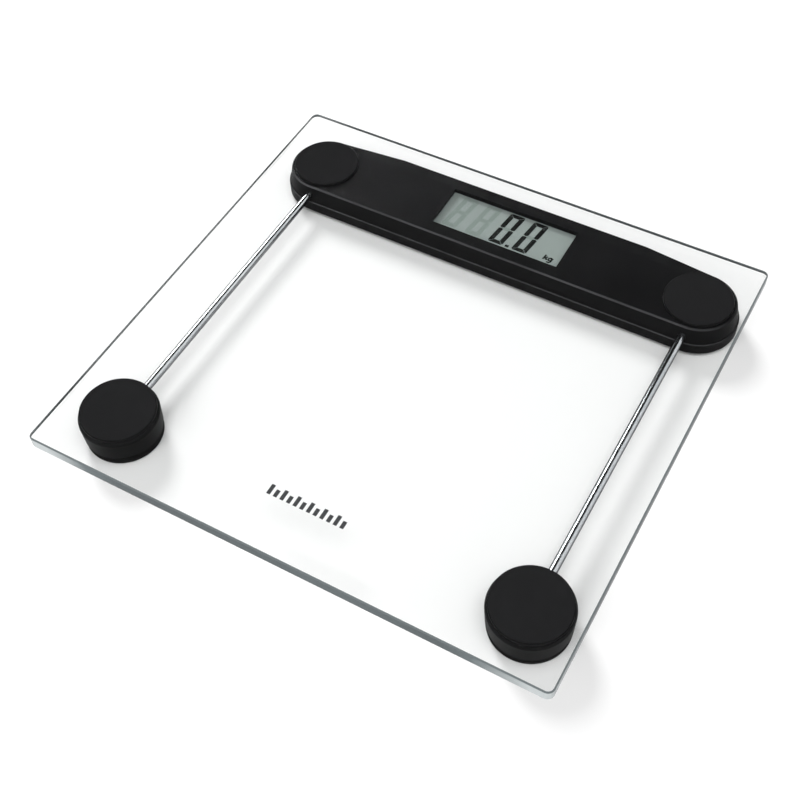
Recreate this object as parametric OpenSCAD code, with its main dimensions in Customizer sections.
// Digital bathroom scale: a clear glass platform carried by a rear display console and two
// front corner feet, with two chrome tubes that lead the front load-cell wires to the console.
// Origin: centre of the footprint, on the floor. +X is the user's right, +Y the display side, +Z up.

/* [Platform] */
// Width of the glass platform
glass_w = 315; // [300:1:330]
// Depth of the glass platform
glass_d = 300; // [290:1:320]
// Thickness of the glass
glass_t = 8; // [6:0.5:10]
// Radius of the glass corners in plan
glass_corner_r = 4; // [2:0.5:8]
// Ground bevel along the glass edges
glass_bevel = 0.8; // [0.3:0.1:1.2]
// Overall height, floor to the top of the glass
total_h = 30; // [30:0.5:34]

/* [Corners] */
// Distance of every foot from the centre line
corner_x = 127.5; // [126:0.5:130]
// Distance of the front feet in front of the centre
front_y = 109; // [106:0.5:112]
// Distance of the rear feet behind the centre
rear_y = 115.5; // [114:0.5:117]
// Radius of the raised pads of the front feet, bonded to the glass
front_pad_r = 21.9; // [21.6:0.1:22.5]
// Radius of the raised pads of the console, bonded to the glass
rear_pad_r = 20.6; // [20:0.1:21.4]
// Height of the raised pads above their housings
pad_h = 1.5; // [1:0.1:2]

/* [Console] */
// Radius of the rounded console ends
console_end_r = 22.8; // [22.4:0.1:23.4]
// Furthest line of the console's rear edge from the centre
console_back_y = 142.4; // [141:0.1:143]
// Half-length of the straight middle of the rear edge
console_back_flat = 84; // [70:1:95]
// Height of the parting line between housing and base
parting_z = 9.5; // [9.4:0.1:9.8]
// Height of the console's underside above the floor
base_z = 1.5; // [1.4:0.1:1.8]
// Wall thickness of the plastic shells
wall = 2; // [1.8:0.1:2.2]

/* [Display] */
// Width of the display opening
window_w = 85; // [80:1:86]
// Depth of the display opening
window_d = 32; // [30:1:33]
// Depth of the liquid crystal panel below the console top
lcd_recess = 4; // [3.8:0.1:4.2]

/* [Tubes] */
// Outer diameter of the wire tubes
tube_d = 5; // [4.6:0.1:5.2]
// Height of the tube axis
tube_z = 13; // [12.9:0.1:13.1]

/* [Feet] */
// Radius of the front rubber soles
front_sole_r = 22.3; // [21:0.1:22.4]
// Radius of the rear rubber soles
rear_sole_r = 17.6; // [16:0.1:17.8]
// Free height above a foot's carrier, for the bending of its load cell
foot_travel = 0.5; // [0.3:0.1:0.5]

/* [Hidden] */
$fn = 96;
eps = 0.01;                                   // overlap that lets a cut pass a face
gap = 0.3;                                    // clearance around loose pieces
through = 1;                                  // reach of a cut beyond the faces it opens
sunk = 0.5;                                   // depth by which a rib or boss starts inside its wall

// Heights
glass_z = total_h - glass_t;                  // underside of the glass
bond_t = 0.3;                                 // adhesive layer
bond_margin = 0.5;                            // adhesive stops short of the pad's rim
pad_bevel = 0.35;
pad_top_z = glass_z - bond_t;
top_z = pad_top_z - pad_h;                    // top face of the console and shoulder of the feet
ceiling_z = top_z - wall;                     // inside face of the top skins
floor_t = 1.8;                                // thickness of the base floor
floor_z = base_z + floor_t;

// Console shells
console_front_y = rear_y - console_end_r;     // front line of the top face
top_bevel = 0.9;
housing_flare = 1.8;                          // widening of the housing towards the parting line
housing_skirt_h = 2;                          // nearly upright band above the parting line
housing_draft = 0.3;
base_flare = 2.6;
base_edge = 0.8;                              // bevel around the underside
parting_groove = 0.5;                         // bevel that makes the parting line
guide_h = 3;                                  // collar of the base around a rear foot
guide_wall = 3.4;

// Load cells
cell_w = 27;
cell_t = 1.2;
cell_z = 12;
cell_rim = 4;
cell_corner_r = 3;
tongue_w = 8;
tongue_head_r = 4.6;
rivet_r = 1.3;
retainer_t = 1.2;
ear_x = 16.2;
ear_r = 2.6;
screw_r = 1;
screw_fit = 0.2;                              // extra radius of a hole that a screw passes freely
small_head_r = 1.9;
small_head_h = 1.2;
retainer_screw_l = 5;
retainer_ears = [[-ear_x, 0], [0, ear_x]];
post_r = 2;
post_x = cell_w / 2 - cell_rim / 2;
gauge_l = 6;
gauge_w = 5;
gauge_h = 1.3;
gauge_x = 5;
wire_r = 0.4;
wire_pitch = 0.85;
wire_z = cell_z + cell_t + wire_r + 0.1;      // height at which a lead leaves its gauge

// Feet
sole_t = 3.2;
carrier_t = 1.6;
sole_round = 1;
spigot_r = 12;
spigot_h = 1;
plunger_tip_h = 0.8;
plunger_r = 5;
plunger_tip_r = 3.5;
clip_count = 3;
clip_turn = 30;                               // keeps the clips clear of the tube socket
clip_r = 18;
clip_t = 0.9;
clip_w = 5;
barb = 1;
foot_rim_z = sole_t + carrier_t + foot_travel + 0.2;   // lower edge of a front housing
ledge_z = foot_rim_z + 1.5;
ledge_t = 0.8;
housing_r = 23.2;
housing_cavity_r = 21;
shoulder_r = 3;
rear_carrier_r = 19.4;
rear_carrier_fit = 0.4;
rear_hole_r = rear_sole_r + 0.5;

// Tubes
tube_r = tube_d / 2;
tube_wall = 0.6;
tube_fit = 0.05;
socket_r = tube_r + 1.6;
tube_front_y = -front_y + cell_w / 2 + 1.5;
tube_rear_y = rear_y - cell_w / 2 - 4;
set_screw_in = 1.4;                           // distance of a set screw from the end of its tube
set_screw_l = 2.4;
set_screw_r = 1;

// Display stack, from the top down
display_y = 117.6;
skirt_t = 2.5;                                // rim below the top skin around the opening
skirt_margin = 4;
lens_t = 1;
lens_margin = 2;
lcd_z = top_z - lcd_recess;                   // top of the front polariser
polariser_t = 0.2;
lcd_glass_t = 1.1;
lcd_w = 88;
lcd_d = 36;
rear_glass_d = 31;
reflector_t = 0.3;
lcd_top_z = lcd_z - polariser_t;
pcb_t = 1.6;
pcb_top_z = 12.1;
pcb_w = 102;
pcb_d = 42;
pcb_y = rear_y + 2;
pcb_hole_x = 48.4;
pcb_boss_r = 2.4;
pcb_hole_y = 17.5;
pcb_screw_l = 5.5;
pcb_bore = 4.5;
pcb_holes = [for (sx = [-1, 1], sy = [-1, 1]) [sx * pcb_hole_x, pcb_y + sy * pcb_hole_y]];
holder_wall = 1.5;
holder_fit = 0.2;
zebra_w = 2;
zebra_in = 3;                                 // zebra strip is shorter than the panel at each end

// Battery and its door
battery_x = 78;
battery_y = 116;
battery_r = 10;
battery_t = 3.2;
battery_z = 3.7;
cradle_w = 3;
cradle_d = 2;
cradle_x = battery_r + 1.8;
door_w = 30.4;
door_d = 26.4;
door_t = 1.5;
door_gap = 0.3;
pocket_wall = 2.5;
pocket_top_z = parting_z - 0.3;
pocket_roof_t = 1.3;
hinge_r = 0.8;
hinge_in = 1;                                 // hinge axis from the rear edge of the door
hinge_z = base_z + 1.15;
hinge_pin_l = 1.6;
hinge_fit = 0.05;
hinge_y = battery_y + door_d / 2 - hinge_in;
contact_t = 0.3;
contact_w = 4;
contact_y = 4.4;                              // contacts sit either side of the cell's centre line
contact_top_z = pocket_top_z + 1.2;
contact_slot_w = 2.4;
contact_slot_x = 0.5;                         // the slot reaches further towards the coin cell
pocket_roof_z = pocket_top_z - pocket_roof_t;

// Unit switch
switch_x = -34;
switch_y = 106;
switch_travel = 4;
switch_w = 9;
switch_d = 4.4;
switch_h = 3.5;
knob_w = 4.4;
knob_d = 3.6;
slot_w = knob_w + switch_travel + 2 * gap;
slot_d = knob_d + 2 * gap;

// Fasteners of the console
base_screws = [[-100, 106.5], [100, 106.5], [-100, 131], [100, 131], [-55, 136], [55, 136]];
boss_r = 3.5;
base_screw_r = 1.5;
base_head_r = 2.9;
base_head_h = 2;
base_screw_l = 11;
base_bore = 7;                                // depth of the screw holes in the housing
head_seat_z = 5;

SIDES = [-1, 1];
FRONT_LEFT = [-corner_x, -front_y];
FRONT_RIGHT = [corner_x, -front_y];
REAR_LEFT = [-corner_x, rear_y];
REAR_RIGHT = [corner_x, rear_y];
CORNERS = [FRONT_LEFT, FRONT_RIGHT, REAR_LEFT, REAR_RIGHT];

// Leads of the left side; the right side mirrors them
lead_board_x = -47;                           // where the leads meet the circuit board
lead_board_z = pcb_top_z + wire_r;
front_lead = [[-corner_x, -front_y + 11, wire_z], [-corner_x, -front_y + 13.4, wire_z],
    [-corner_x, -front_y + 16, tube_z + 0.2], [-corner_x, -front_y + 21, tube_z], [-corner_x, -40, tube_z],
    [-corner_x, 40, tube_z], [-corner_x, tube_rear_y - 4, tube_z], [-corner_x, tube_rear_y - 1, tube_z],
    [-corner_x + 0.5, 98.8, tube_z], [-corner_x + 1.9, 100, tube_z], [-corner_x + 4, 100.5, tube_z],
    [-110, 100.5, 13], [-80, 100.5, 13], [-62, 102.5, 13], [-54, 104, 12.9],
    [lead_board_x, 104, lead_board_z]];
rear_lead = [[-corner_x + 11, rear_y, wire_z], [-corner_x + 14.5, rear_y, wire_z], [-104, 116, 13],
    [-80, 116.5, 12.8], [-62, 115, 12.9], [-54, 114, 12.9], [lead_board_x, 114, lead_board_z]];
battery_lead_r = 0.5;
battery_lead_x = battery_x - 12.4;
battery_lead_start = battery_lead_x - contact_t / 2;
plus_lead = [[battery_lead_start, 120.4, 9.8], [64, 120.4, 9.8], [61, 120.8, 11.2], [57, 121.5, 12.4],
    [52, 122, 12.9], [47, 122, pcb_top_z + battery_lead_r]];
minus_lead = [[battery_lead_start, 111.6, 9.8], [64, 111.6, 9.8], [61, 111, 11.2], [57, 109.8, 12.4],
    [52, 109, 12.9], [47, 109, pcb_top_z + battery_lead_r]];

// ---- shared shapes ----

// Box centred in X and Y, standing on z
module block(w, d, z, h) {
    translate([-w / 2, -d / 2, z]) cube([w, d, h]);
}

// Quarter-round corner post of a bevelled slab
module bevelled_post(r, h, bevel) {
    rotate_extrude(angle = 90)
        polygon([[0, 0], [r - bevel, 0], [r, bevel], [r, h - bevel], [r - bevel, h], [0, h]]);
}

// Rounded rectangular slab with every edge of its two faces bevelled
module bevelled_slab(w, d, h, r, bevel) {
    function side(half) = [[-half + bevel, 0], [half - bevel, 0], [half, bevel], [half, h - bevel],
        [half - bevel, h], [-half + bevel, h], [-half, h - bevel], [-half, bevel]];
    rotate([90, 0, 0]) translate([0, 0, -(d / 2 - r)]) linear_extrude(d - 2 * r) polygon(side(w / 2));
    rotate([90, 0, 90]) translate([0, 0, -(w / 2 - r)]) linear_extrude(w - 2 * r) polygon(side(d / 2));
    for (turn = [0:3])
        let (a = 90 * turn, sx = turn == 0 || turn == 3 ? 1 : -1, sy = turn < 2 ? 1 : -1)
            translate([sx * (w / 2 - r), sy * (d / 2 - r), 0]) rotate(a) bevelled_post(r, h, bevel);
}

// Rectangle with rounded corners
module rounded_rect(w, d, r) {
    square([w - 2 * r, d], center = true);
    square([w, d - 2 * r], center = true);
    for (sx = SIDES, sy = SIDES) translate([sx * (w / 2 - r), sy * (d / 2 - r)]) circle(r);
}

// Solid of the console's plan between the heights of a profile, given as [height, growth] pairs
module console_solid(profile) {
    n = len(profile);
    m = 6;
    function ring(g) = let (front = rear_y - console_end_r - g, end = rear_y + console_end_r + g,
        back = console_back_y + g) [[-corner_x, front], [corner_x, front], [corner_x, end],
        [console_back_flat, back], [-console_back_flat, back], [-corner_x, end]];
    points = [for (p = profile) for (q = ring(p[1])) [q[0], q[1], p[0]]];
    sides = [for (i = [0:n - 2]) for (j = [0:m - 1])
        [i * m + j, (i + 1) * m + j, (i + 1) * m + (j + 1) % m, i * m + (j + 1) % m]];
    polyhedron(points, concat([[for (j = [0:m - 1]) j]], sides, [[for (j = [m - 1:-1:0]) (n - 1) * m + j]]));
    outline = concat([[0, profile[0][0]]], [for (p = profile) [console_end_r + p[1], p[0]]],
        [[0, profile[n - 1][0]]]);
    for (s = SIDES)
        translate([s * corner_x, rear_y, 0]) rotate(s > 0 ? -90 : 90) rotate_extrude(angle = 180)
            polygon(outline);
}

// Round wire along a list of points, moved sideways in plan by a shift
module swept_wire(route, r, shift = 0, count = 8) {
    n = len(route);
    function along(i) = let (a = route[max(i - 1, 0)], b = route[min(i + 1, n - 1)]) (b - a) / norm(b - a);
    function side(i) = let (t = along(i)) [t[1], -t[0], 0] / norm([t[0], t[1]]);
    points = [for (i = [0:n - 1]) for (k = [0:count - 1])
        let (s = side(i), u = cross(s, along(i)), a = 360 * k / count)
            route[i] + s * (shift + r * cos(a)) + u * r * sin(a)];
    walls = [for (i = [0:n - 2]) for (k = [0:count - 1])
        [i * count + k, i * count + (k + 1) % count, (i + 1) * count + (k + 1) % count,
            (i + 1) * count + k]];
    polyhedron(points, concat([[for (k = [count - 1:-1:0]) k]], walls,
        [[for (k = [0:count - 1]) (n - 1) * count + k]]));
}

// Three wires side by side
module lead(route) {
    for (k = [-1:1]) swept_wire(route, wire_r, k * wire_pitch);
}

// Puts a left-hand child on either side: side 1 mirrors it
module on_side(side) {
    if (side > 0) mirror([1, 0, 0]) children();
    else children();
}

// Frame of a corner's load cell: its own +X points along the leaving lead
module in_cell_frame(front, side) {
    on_side(side) translate([-corner_x, front ? -front_y : rear_y, 0]) rotate(front ? 90 : 0) children();
}

// Cross-head screw that points up from the underside of its head
module pan_screw(head_r, head_h, shank_r, shank_l) {
    difference() {
        union() {
            cylinder(h = head_h, r = head_r);
            translate([0, 0, head_h]) cylinder(h = shank_l, r = shank_r);
        }
        for (a = [0, 90]) rotate(a) block(head_r * 1.3, head_r * 0.28, -eps, head_h * 0.5);
    }
}

// ---- platform ----

module glass_platform() {
    color([0.80, 0.90, 0.88, 0.35])
        translate([0, 0, glass_z]) bevelled_slab(glass_w, glass_d, glass_t, glass_corner_r, glass_bevel);
}

module glass_adhesive_discs() {
    color([0.09, 0.09, 0.10])
        for (c = CORNERS) translate([c[0], c[1], pad_top_z])
            cylinder(h = bond_t, r = (c[1] < 0 ? front_pad_r : rear_pad_r) - bond_margin);
}

// ---- parts shared by the console and the front housings ----

// Raised bonding pad with a small bevel
module bonding_pad(r) {
    rotate_extrude()
        polygon([[0, ceiling_z], [r, ceiling_z], [r, pad_top_z - pad_bevel], [r - pad_bevel, pad_top_z],
            [0, pad_top_z]]);
}

// Posts that press on the rim of the load cell, and the two screw posts of its retainer
module cell_posts() {
    z = cell_z + cell_t;
    for (sx = SIDES, sy = SIDES) translate([sx * post_x, sy * post_x, z])
        cylinder(h = ceiling_z - z + eps, r = post_r);
    for (p = retainer_ears) translate([p[0], p[1], cell_z])
        difference() {
            cylinder(h = ceiling_z - cell_z + eps, r = ear_r);
            translate([0, 0, -eps]) cylinder(h = retainer_screw_l, r = screw_r);
        }
}

// ---- console ----

module console_top_housing() {
    bore_out = housing_flare + through;
    color([0.15, 0.15, 0.15])
        difference() {
            union() {
                difference() {
                    console_solid([[parting_z, housing_flare],
                        [parting_z + housing_skirt_h, housing_flare - housing_draft],
                        [top_z - top_bevel, 0], [top_z, -top_bevel]]);
                    console_solid([[parting_z - through, -wall], [ceiling_z, -wall]]);
                }
                for (s = SIDES) translate([s * corner_x, rear_y, 0]) bonding_pad(rear_pad_r);
                for (s = SIDES) in_cell_frame(false, s) cell_posts();
                for (s = SIDES) tube_socket(s);
                translate([0, display_y, 0])
                    block(window_w + 2 * skirt_margin, window_d + 2 * skirt_margin, top_z - skirt_t,
                        skirt_t - wall + eps);
                for (p = base_screws) translate([p[0], p[1], parting_z])
                    cylinder(h = ceiling_z - parting_z + eps, r = boss_r);
                for (p = pcb_holes) translate([p[0], p[1], pcb_top_z])
                    cylinder(h = ceiling_z - pcb_top_z + eps, r = pcb_boss_r);
            }
            translate([0, display_y, 0])
                block(window_w, window_d, top_z - skirt_t - through, skirt_t + 2 * through);
            for (s = SIDES) translate([s * corner_x, console_front_y - bore_out, tube_z]) rotate([-90, 0, 0])
                cylinder(h = tube_rear_y + through - console_front_y + bore_out, r = tube_r + tube_fit);
            for (s = SIDES)
                translate([s * corner_x, tube_rear_y - set_screw_in, tube_z - socket_r - through])
                    cylinder(h = socket_r, r = set_screw_r);
            for (p = base_screws) translate([p[0], p[1], parting_z - eps])
                cylinder(h = base_bore, r = base_screw_r);
            for (p = pcb_holes) translate([p[0], p[1], pcb_top_z - eps]) cylinder(h = pcb_bore, r = screw_r);
        }
}

// Socket inside the console wall that takes the rear end of a tube; clear of the base's own wall
module tube_socket(s) {
    inner_y = console_front_y + wall;
    module barrel(start) translate([s * corner_x, start, tube_z]) rotate([-90, 0, 0])
        cylinder(h = tube_rear_y - start, r = socket_r);
    barrel(inner_y + gap);
    intersection() {
        barrel(inner_y - wall / 2);
        translate([s * corner_x, inner_y, 0]) block(3 * socket_r, 3 * socket_r, parting_z, 2 * socket_r);
    }
}

module console_base() {
    pocket_w = door_w + 2 * door_gap + 2 * pocket_wall;
    pocket_d = door_d + 2 * door_gap + 2 * pocket_wall;
    rib_z = base_z + sunk;
    below = base_z - through;
    color([0.12, 0.12, 0.12])
        difference() {
            union() {
                difference() {
                    console_solid([[base_z, base_flare - base_edge], [base_z + base_edge, base_flare],
                        [parting_z - parting_groove, base_flare], [parting_z, base_flare - parting_groove]]);
                    console_solid([[floor_z, -wall], [parting_z + through, -wall]]);
                }
                for (p = base_screws) translate([p[0], p[1], rib_z])
                    cylinder(h = parting_z - rib_z, r = boss_r);
                translate([battery_x, battery_y, 0])
                    block(pocket_w, pocket_d, rib_z, pocket_top_z - rib_z);
                for (s = SIDES) translate([s * corner_x, rear_y, rib_z])
                    cylinder(h = guide_h, r = rear_hole_r + guide_wall);
            }
            for (s = SIDES) translate([s * corner_x, rear_y, 0]) {
                translate([0, 0, below]) cylinder(h = parting_z - below, r = rear_hole_r);
                translate([0, 0, floor_z]) cylinder(h = guide_h, r = rear_carrier_r + rear_carrier_fit);
            }
            translate([battery_x, battery_y, 0])
                block(door_w + 2 * door_gap, door_d + 2 * door_gap, below, pocket_roof_z - below);
            translate([battery_x, hinge_y, hinge_z]) rotate([0, 90, 0])
                cylinder(h = door_w + 2 * (hinge_pin_l + gap), r = hinge_r + hinge_fit, center = true);
            for (y = SIDES * contact_y) translate([battery_lead_x + contact_slot_x, battery_y + y, 0])
                block(contact_slot_w, contact_w + 2 * gap, pocket_roof_z - through,
                    pocket_roof_t + 2 * through);
            for (p = base_screws) translate([p[0], p[1], 0]) {
                translate([0, 0, base_z]) cylinder(h = parting_z, r = base_screw_r + screw_fit);
                translate([0, 0, below]) cylinder(h = head_seat_z - below, r = base_head_r + gap);
            }
            translate([switch_x, switch_y, 0]) block(slot_w, slot_d, below, floor_t + 2 * through);
        }
    color([0.12, 0.12, 0.12]) battery_cradle();
}

// Ribs in the battery pocket that centre the coin cell
module battery_cradle() {
    translate([battery_x, battery_y, battery_z])
        difference() {
            for (a = [45:90:315]) rotate(a) translate([cradle_x, 0, 0])
                block(cradle_w, cradle_d, 0, pocket_roof_z - battery_z + eps);
            translate([0, 0, -through]) cylinder(h = pocket_roof_z, r = battery_r + gap);
        }
}

module console_base_screws() {
    color([0.55, 0.55, 0.57])
        for (p = base_screws) translate([p[0], p[1], head_seat_z - base_head_h])
            pan_screw(base_head_r, base_head_h, base_screw_r, base_screw_l);
}

// ---- display ----

module display_window() {
    color([0.85, 0.9, 0.9, 0.4])
        translate([0, display_y, top_z - skirt_t - lens_t]) linear_extrude(lens_t)
            rounded_rect(window_w + 2 * lens_margin, window_d + 2 * lens_margin, 1);
}

module lcd_front_polariser() {
    color([0.6, 0.65, 0.62]) translate([0, display_y, 0])
        block(lcd_w - 1, window_d + 0.6, lcd_top_z, polariser_t);
}

module lcd_front_glass() {
    color([0.62, 0.68, 0.65]) translate([0, display_y, 0])
        block(lcd_w, lcd_d, lcd_top_z - lcd_glass_t, lcd_glass_t);
}

module lcd_rear_glass() {
    color([0.6, 0.66, 0.63]) translate([0, display_y + (lcd_d - rear_glass_d) / 2, 0])
        block(lcd_w, rear_glass_d, lcd_top_z - 2 * lcd_glass_t, lcd_glass_t);
}

module lcd_reflector() {
    color([0.75, 0.78, 0.76]) translate([0, display_y + (lcd_d - rear_glass_d) / 2, 0])
        block(lcd_w - 2, rear_glass_d - 2, lcd_top_z - 2 * lcd_glass_t - reflector_t, reflector_t);
}

// Frame that stands on the circuit board and keeps the panel in place
module lcd_holder_frame() {
    inner_w = lcd_w + 2 * holder_fit;
    inner_d = lcd_d + 2 * holder_fit;
    h = lcd_top_z - pcb_top_z;
    color([0.82, 0.82, 0.80]) translate([0, display_y, 0])
        difference() {
            block(inner_w + 2 * holder_wall, inner_d + 2 * holder_wall, pcb_top_z, h);
            block(inner_w, inner_d, pcb_top_z - eps, h + through);
        }
}

module zebra_connector() {
    ledge = lcd_d - rear_glass_d;                 // bare contact strip of the front glass
    color([0.85, 0.55, 0.6]) translate([0, display_y - lcd_d / 2 + ledge / 2 - sunk, 0])
        block(lcd_w - 2 * zebra_in, zebra_w, pcb_top_z, lcd_top_z - lcd_glass_t - pcb_top_z);
}

// ---- electronics ----

module main_pcb() {
    color([0.08, 0.35, 0.18])
        translate([0, pcb_y, pcb_top_z - pcb_t]) linear_extrude(pcb_t)
            difference() {
                rounded_rect(pcb_w, pcb_d, 1.5);
                for (p = pcb_holes) translate([p[0], p[1] - pcb_y]) circle(screw_r + screw_fit);
            }
}

module pcb_screws() {
    color([0.6, 0.6, 0.62])
        for (p = pcb_holes) translate([p[0], p[1], pcb_top_z - pcb_t - small_head_h])
            pan_screw(small_head_r, small_head_h, screw_r, pcb_screw_l);
}

// Black epoxy over the bonded controller chip, on the underside of the board
module controller_epoxy_dome() {
    dome_r = 6.5;
    dome_h = 1.5;
    ball_r = (dome_r * dome_r + dome_h * dome_h) / (2 * dome_h);
    color([0.03, 0.03, 0.03])
        translate([-8, rear_y + 4, pcb_top_z - pcb_t]) rotate([180, 0, 0])
            intersection() {
                translate([0, 0, dome_h - ball_r]) sphere(ball_r);
                cylinder(h = dome_h + through, r = dome_r + through);
            }
}

// Surface-mounted parts on the underside of the board, and its clock crystal
module pcb_components() {
    chip = [2, 1.25, 0.6];
    crystal_l = 6;
    crystal_r = 1.5;
    driver = [4.4, 3.2, 1.2];
    row_y = rear_y + 3;
    places = [for (i = [0:5]) [8 + 4.5 * i, rear_y + 9], for (i = [0:4]) [10 + 5 * i, rear_y - 4],
        for (i = [0:3]) [-24 + 3.5 * i, rear_y + 15]];
    underside = pcb_top_z - pcb_t;
    color([0.35, 0.28, 0.2]) {
        for (p = places) translate([p[0], p[1], 0]) block(chip[0], chip[1], underside - chip[2], chip[2]);
        translate([20, row_y, underside - crystal_r]) rotate([0, 90, 0])
            cylinder(h = crystal_l, r = crystal_r);
        translate([36, row_y, 0]) block(driver[0], driver[1], underside - driver[2], driver[2]);
    }
}

module unit_switch_body() {
    bottom = pcb_top_z - pcb_t - switch_h;
    channel = 2.2;                                // width and depth of the slider's channel
    color([0.7, 0.7, 0.72]) translate([switch_x, switch_y, 0])
        difference() {
            block(switch_w, switch_d, bottom, switch_h);
            block(switch_travel + channel, channel, bottom - eps, channel);
        }
}

// Slider of the unit switch, at the kilogram end of its travel
module unit_switch_knob() {
    stem_top = pcb_top_z - pcb_t - switch_h + 1.8;
    cap_z = base_z + 0.2;
    cap_h = 1.9;
    grip_pitch = 1.2;
    grip_w = 0.4;
    grip_h = 0.3;
    stem_w = 1.6;
    stem_d = 1.5;
    color([0.9, 0.9, 0.88]) translate([switch_x - switch_travel / 2, switch_y, 0]) {
        difference() {
            block(knob_w, knob_d, cap_z, cap_h);
            for (k = [-1:1]) translate([k * grip_pitch, 0, 0])
                block(grip_w, knob_d + through, cap_z - eps, grip_h);
        }
        block(stem_w, stem_d, cap_z + cap_h - eps, stem_top - cap_z - cap_h + eps);
    }
}

// ---- battery ----

module coin_cell() {
    rim = 0.6;
    rise = 0.3;                                   // the cap stands above the can's crimped edge
    can_top = battery_t - rise;
    cap_r = battery_r - 1.4;
    color([0.75, 0.75, 0.77]) translate([battery_x, battery_y, battery_z])
        rotate_extrude()
            polygon([[0, 0], [battery_r - rim, 0], [battery_r, rim], [battery_r, can_top - rise],
                [battery_r - rise, can_top], [cap_r, can_top], [cap_r - rise, battery_t], [0, battery_t]]);
}

// Strip that touches the side of the coin cell and rises through the pocket roof
module battery_positive_contact() {
    foot_z = battery_z + 0.4;
    finger_l = 2.7;
    finger_w = 1.2;
    finger_z = battery_z + 1;
    color([0.8, 0.72, 0.45]) translate([battery_lead_x, battery_y + contact_y, 0]) {
        block(contact_t, contact_w, foot_z, contact_top_z - foot_z);
        translate([finger_l / 2, -finger_w, 0]) block(finger_l, finger_w, finger_z, contact_t);
    }
}

// Strip along the pocket roof with a bent tongue that presses on the top of the coin cell
module battery_negative_contact() {
    tip_z = battery_z + battery_t;
    tip_x = 16;
    root_z = pocket_roof_z - 0.1;
    color([0.8, 0.72, 0.45]) translate([battery_lead_x, battery_y - contact_y, 0]) {
        block(contact_t, contact_w, root_z - contact_t, contact_top_z - root_z + contact_t);
        rotate([90, 0, 0]) translate([0, 0, -contact_w / 2]) linear_extrude(contact_w)
            polygon([[0, root_z - contact_t], [tip_x, tip_z], [tip_x + 0.8, tip_z + 0.4],
                [tip_x + 0.6, tip_z + 0.6], [tip_x - 0.1, tip_z + contact_t], [0, root_z]]);
    }
}

module battery_positive_lead() {
    color([0.75, 0.08, 0.06]) swept_wire(plus_lead, battery_lead_r);
}

module battery_negative_lead() {
    color([0.05, 0.05, 0.05]) swept_wire(minus_lead, battery_lead_r);
}

// Door in the base floor; it turns down on two pins along its rear edge
module battery_door() {
    front = battery_y - door_d / 2;
    notch_r = 5;
    notch_in = 2;                                 // centre of the finger notch in front of the edge
    rib_w = 1;
    rib_d = 16;
    rib_pitch = 8;
    color([0.14, 0.14, 0.14]) {
        difference() {
            translate([battery_x - door_w / 2, front, base_z]) cube([door_w, hinge_y - front, door_t]);
            translate([battery_x, front - notch_in, base_z - through])
                cylinder(h = door_t + 2 * through, r = notch_r);
        }
        translate([battery_x, hinge_y, hinge_z]) rotate([0, 90, 0])
            cylinder(h = door_w + 2 * hinge_pin_l, r = hinge_r, center = true);
        for (k = [-1:1]) translate([battery_x + k * rib_pitch, battery_y, 0])
            block(rib_w, rib_d, base_z + door_t - eps, sunk);
    }
}

// ---- wire tubes ----

module wire_tube(side) {
    length = tube_rear_y - tube_front_y;
    color([0.8, 0.8, 0.82])
        translate([side * corner_x, tube_front_y, tube_z]) rotate([-90, 0, 0])
            difference() {
                cylinder(h = length, r = tube_r);
                translate([0, 0, -through]) cylinder(h = length + 2 * through, r = tube_r - tube_wall);
            }
}

module left_tube() { wire_tube(-1); }
module right_tube() { wire_tube(1); }

// Small screws under the sockets that lock the tubes
module tube_set_screws() {
    slot = [2.4, 0.4, 0.6];
    color([0.5, 0.5, 0.52])
        for (s = SIDES, y = [tube_front_y + set_screw_in, tube_rear_y - set_screw_in])
            translate([s * corner_x, y, tube_z - tube_r - set_screw_l])
                difference() {
                    cylinder(h = set_screw_l, r = set_screw_r);
                    block(slot[0], slot[1], -eps, slot[2]);
                }
}

// ---- front corners ----

// Round housing with a soft shoulder, seen between the pad and the rubber sole
module front_housing(side) {
    steps = 8;
    shoulder = [for (i = [0:steps]) let (a = 90 * i / steps)
        [housing_r - shoulder_r + shoulder_r * sin(90 - a), top_z - shoulder_r + shoulder_r * sin(a)]];
    rim_in = clip_r + clip_t + gap;
    rim_bevel = 0.4;
    rim_draft = 0.5;
    ledge_out = housing_cavity_r + sunk;
    tube_start = tube_front_y + front_y;
    color([0.14, 0.14, 0.14])
        translate([side * corner_x, -front_y, 0]) {
            difference() {
                union() {
                    rotate_extrude()
                        polygon(concat([[housing_cavity_r, foot_rim_z],
                            [housing_r - rim_draft - rim_bevel, foot_rim_z],
                            [housing_r - rim_draft, foot_rim_z + rim_bevel]], shoulder, [[0, top_z],
                            [0, ceiling_z], [housing_cavity_r - rim_draft, ceiling_z],
                            [housing_cavity_r, ceiling_z - rim_draft]]));
                    bonding_pad(front_pad_r);
                    rotate_extrude()
                        polygon([[rim_in, ledge_z], [ledge_out, ledge_z - rim_bevel],
                            [ledge_out, ledge_z + ledge_t], [rim_in, ledge_z + ledge_t]]);
                    translate([0, tube_start, tube_z]) rotate([-90, 0, 0])
                        cylinder(h = housing_cavity_r - tube_start + through, r = socket_r);
                }
                translate([0, tube_start - through, tube_z]) rotate([-90, 0, 0])
                    cylinder(h = housing_r, r = tube_r + tube_fit);
                translate([0, tube_start + set_screw_in, tube_z - socket_r - through])
                    cylinder(h = socket_r, r = set_screw_r);
            }
        }
    color([0.14, 0.14, 0.14]) in_cell_frame(true, side) cell_posts();
}

module front_left_housing() { front_housing(-1); }
module front_right_housing() { front_housing(1); }

// ---- load cells ----

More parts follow.
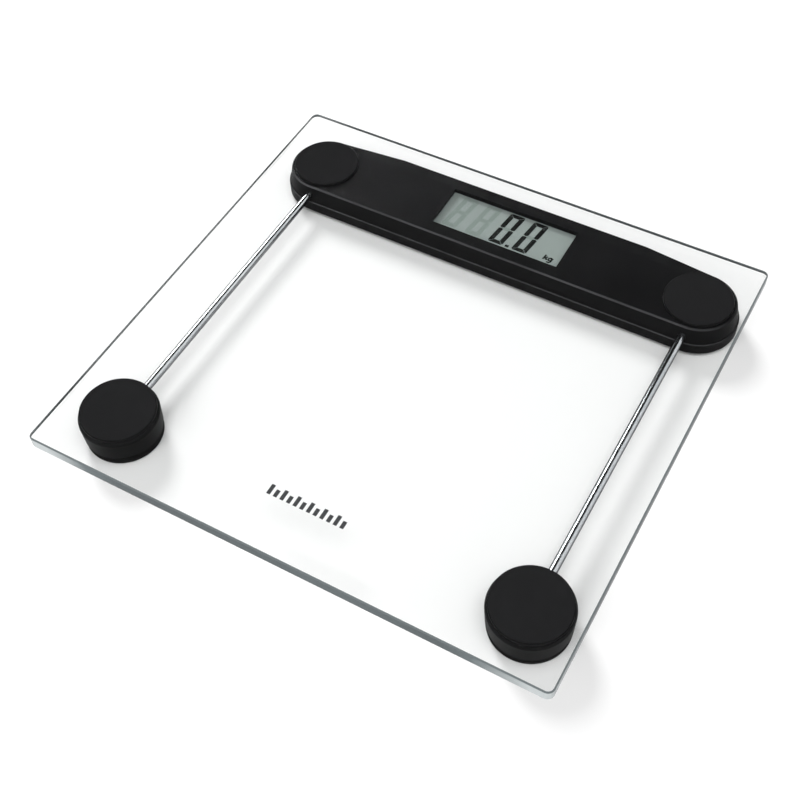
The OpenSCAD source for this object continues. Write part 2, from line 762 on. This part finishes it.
// Stamped steel plate: a square rim with a tongue that reaches the centre
module load_cell(front, side) {
    window = cell_w - 2 * cell_rim;
    color([0.6, 0.6, 0.62]) in_cell_frame(front, side)
        translate([0, 0, cell_z]) linear_extrude(cell_t)
            difference() {
                rounded_rect(cell_w, cell_w, cell_corner_r);
                difference() {
                    square(window, center = true);
                    translate([0, -tongue_w / 2]) square([window, tongue_w]);
                    circle(tongue_head_r);
                }
                circle(rivet_r);
            }
}

module front_left_load_cell() { load_cell(true, -1); }
module front_right_load_cell() { load_cell(true, 1); }
module rear_left_load_cell() { load_cell(false, -1); }
module rear_right_load_cell() { load_cell(false, 1); }

// Gauge under its bead of white silicone, on the root of the tongue
module strain_gauge(front, side) {
    crown_r = (gauge_w * gauge_w / 4 + gauge_h * gauge_h) / (2 * gauge_h);
    color([0.93, 0.93, 0.9]) in_cell_frame(front, side)
        translate([gauge_x, 0, cell_z + cell_t]) rotate([90, 0, 90]) linear_extrude(gauge_l)
            intersection() {
                translate([0, gauge_h - crown_r]) circle(crown_r);
                translate([-gauge_w, 0]) square([2 * gauge_w, gauge_h + through]);
            }
}

module front_left_strain_gauge() { strain_gauge(true, -1); }
module front_right_strain_gauge() { strain_gauge(true, 1); }
module rear_left_strain_gauge() { strain_gauge(false, -1); }
module rear_right_strain_gauge() { strain_gauge(false, 1); }

// Square frames that hold the cells against their posts
module load_cell_retainers() {
    window = cell_w - 2 * cell_rim + 2 * sunk;
    color([0.2, 0.2, 0.21])
        for (front = [true, false], side = SIDES) in_cell_frame(front, side)
            translate([0, 0, cell_z - retainer_t]) linear_extrude(retainer_t)
                difference() {
                    union() {
                        rounded_rect(cell_w, cell_w, cell_corner_r);
                        for (p = retainer_ears) translate(p) circle(ear_r);
                    }
                    square(window, center = true);
                    for (p = retainer_ears) translate(p) circle(screw_r + screw_fit);
                }
}

module retainer_screws() {
    color([0.6, 0.6, 0.62])
        for (front = [true, false], side = SIDES, p = retainer_ears) in_cell_frame(front, side)
            translate([p[0], p[1], cell_z - retainer_t - small_head_h])
                pan_screw(small_head_r, small_head_h, screw_r, retainer_screw_l);
}

module cell_lead(route, side) {
    color([0.8, 0.1, 0.08]) on_side(side) lead(route);
}

module front_left_cell_lead() { cell_lead(front_lead, -1); }
module front_right_cell_lead() { cell_lead(front_lead, 1); }
module rear_left_cell_lead() { cell_lead(rear_lead, -1); }
module rear_right_cell_lead() { cell_lead(rear_lead, 1); }

// ---- feet ----

// Disc with the plunger that presses on the load cell, and clips that keep it in the housing
module foot_carrier(corner, flange_r, clipped) {
    color([0.10, 0.10, 0.10]) translate([corner[0], corner[1], 0]) {
        translate([0, 0, sole_t]) cylinder(h = carrier_t, r = flange_r);
        translate([0, 0, sole_t - spigot_h]) cylinder(h = spigot_h + eps, r = spigot_r);
        translate([0, 0, sole_t + carrier_t - eps])
            cylinder(h = cell_z - plunger_tip_h - sole_t - carrier_t + eps, r = plunger_r);
        translate([0, 0, cell_z - plunger_tip_h - eps])
            cylinder(h = plunger_tip_h + eps, r = plunger_tip_r);
        if (clipped) for (i = [0:clip_count - 1]) rotate(360 / clip_count * i + clip_turn) foot_clip();
    }
}

// One clip: an upright leg with an outward barb above the ledge
module foot_clip() {
    barb_z = ledge_z + ledge_t + 0.05;
    rotate([90, 0, 0]) translate([0, 0, -clip_w / 2]) linear_extrude(clip_w)
        polygon([[clip_r, sole_t + carrier_t - eps], [clip_r + clip_t, sole_t + carrier_t - eps],
            [clip_r + clip_t, barb_z], [clip_r + clip_t + barb, barb_z], [clip_r + clip_t, barb_z + barb],
            [clip_r, barb_z + barb]]);
}

// Rubber sole with a rounded lower edge, a recess for the carrier and grip grooves underneath
module foot_sole(corner, r) {
    groove_h = 0.5;
    groove_half_w = 0.5;
    groove_rings = [0.35, 0.55, 0.75];            // groove radii as shares of the sole's radius
    arc = [for (a = [0:15:90])
        [r - sole_round + sole_round * sin(a), sole_round - sole_round * cos(a)]];
    color([0.03, 0.03, 0.03]) translate([corner[0], corner[1], 0])
        difference() {
            rotate_extrude() polygon(concat([[0, 0]], arc, [[r, sole_t], [0, sole_t]]));
            translate([0, 0, sole_t - spigot_h]) cylinder(h = 2 * spigot_h, r = spigot_r);
            for (k = groove_rings) translate([0, 0, -eps]) difference() {
                cylinder(h = groove_h, r = r * k + groove_half_w);
                translate([0, 0, -through]) cylinder(h = groove_h + 2 * through, r = r * k - groove_half_w);
            }
        }
}

module front_left_foot_carrier() { front_carrier(FRONT_LEFT); }
module front_right_foot_carrier() { front_carrier(FRONT_RIGHT); }
module rear_left_foot_carrier() { rear_carrier(REAR_LEFT); }
module rear_right_foot_carrier() { rear_carrier(REAR_RIGHT); }
module front_left_foot_sole() { foot_sole(FRONT_LEFT, front_sole_r); }
module front_right_foot_sole() { foot_sole(FRONT_RIGHT, front_sole_r); }
module rear_left_foot_sole() { foot_sole(REAR_LEFT, rear_sole_r); }
module rear_right_foot_sole() { foot_sole(REAR_RIGHT, rear_sole_r); }

// The front carriers sit inside the rim of their soles and clip into the housings
module front_carrier(corner) { foot_carrier(corner, front_sole_r - screw_fit, true); }

// The rear carriers pass through the base floor, and a wider collar above it keeps them in
module rear_carrier(corner) {
    collar_z = floor_z + 0.1;
    foot_carrier(corner, rear_sole_r, false);
    color([0.10, 0.10, 0.10]) translate([corner[0], corner[1], collar_z])
        cylinder(h = sole_t + carrier_t - collar_z, r = rear_carrier_r);
}

glass_platform();
glass_adhesive_discs();
console_top_housing();
console_base();
console_base_screws();
display_window();
lcd_front_polariser();
lcd_front_glass();
lcd_rear_glass();
lcd_reflector();
lcd_holder_frame();
zebra_connector();
main_pcb();
pcb_screws();
controller_epoxy_dome();
pcb_components();
unit_switch_body();
unit_switch_knob();
coin_cell();
battery_positive_contact();
battery_negative_contact();
battery_positive_lead();
battery_negative_lead();
battery_door();
left_tube();
right_tube();
tube_set_screws();
front_left_housing();
front_right_housing();
front_left_load_cell();
front_right_load_cell();
rear_left_load_cell();
rear_right_load_cell();
front_left_strain_gauge();
front_right_strain_gauge();
rear_left_strain_gauge();
rear_right_strain_gauge();
load_cell_retainers();
retainer_screws();
front_left_cell_lead();
front_right_cell_lead();
rear_left_cell_lead();
rear_right_cell_lead();
front_left_foot_carrier();
front_right_foot_carrier();
rear_left_foot_carrier();
rear_right_foot_carrier();
front_left_foot_sole();
front_right_foot_sole();
rear_left_foot_sole();
rear_right_foot_sole();
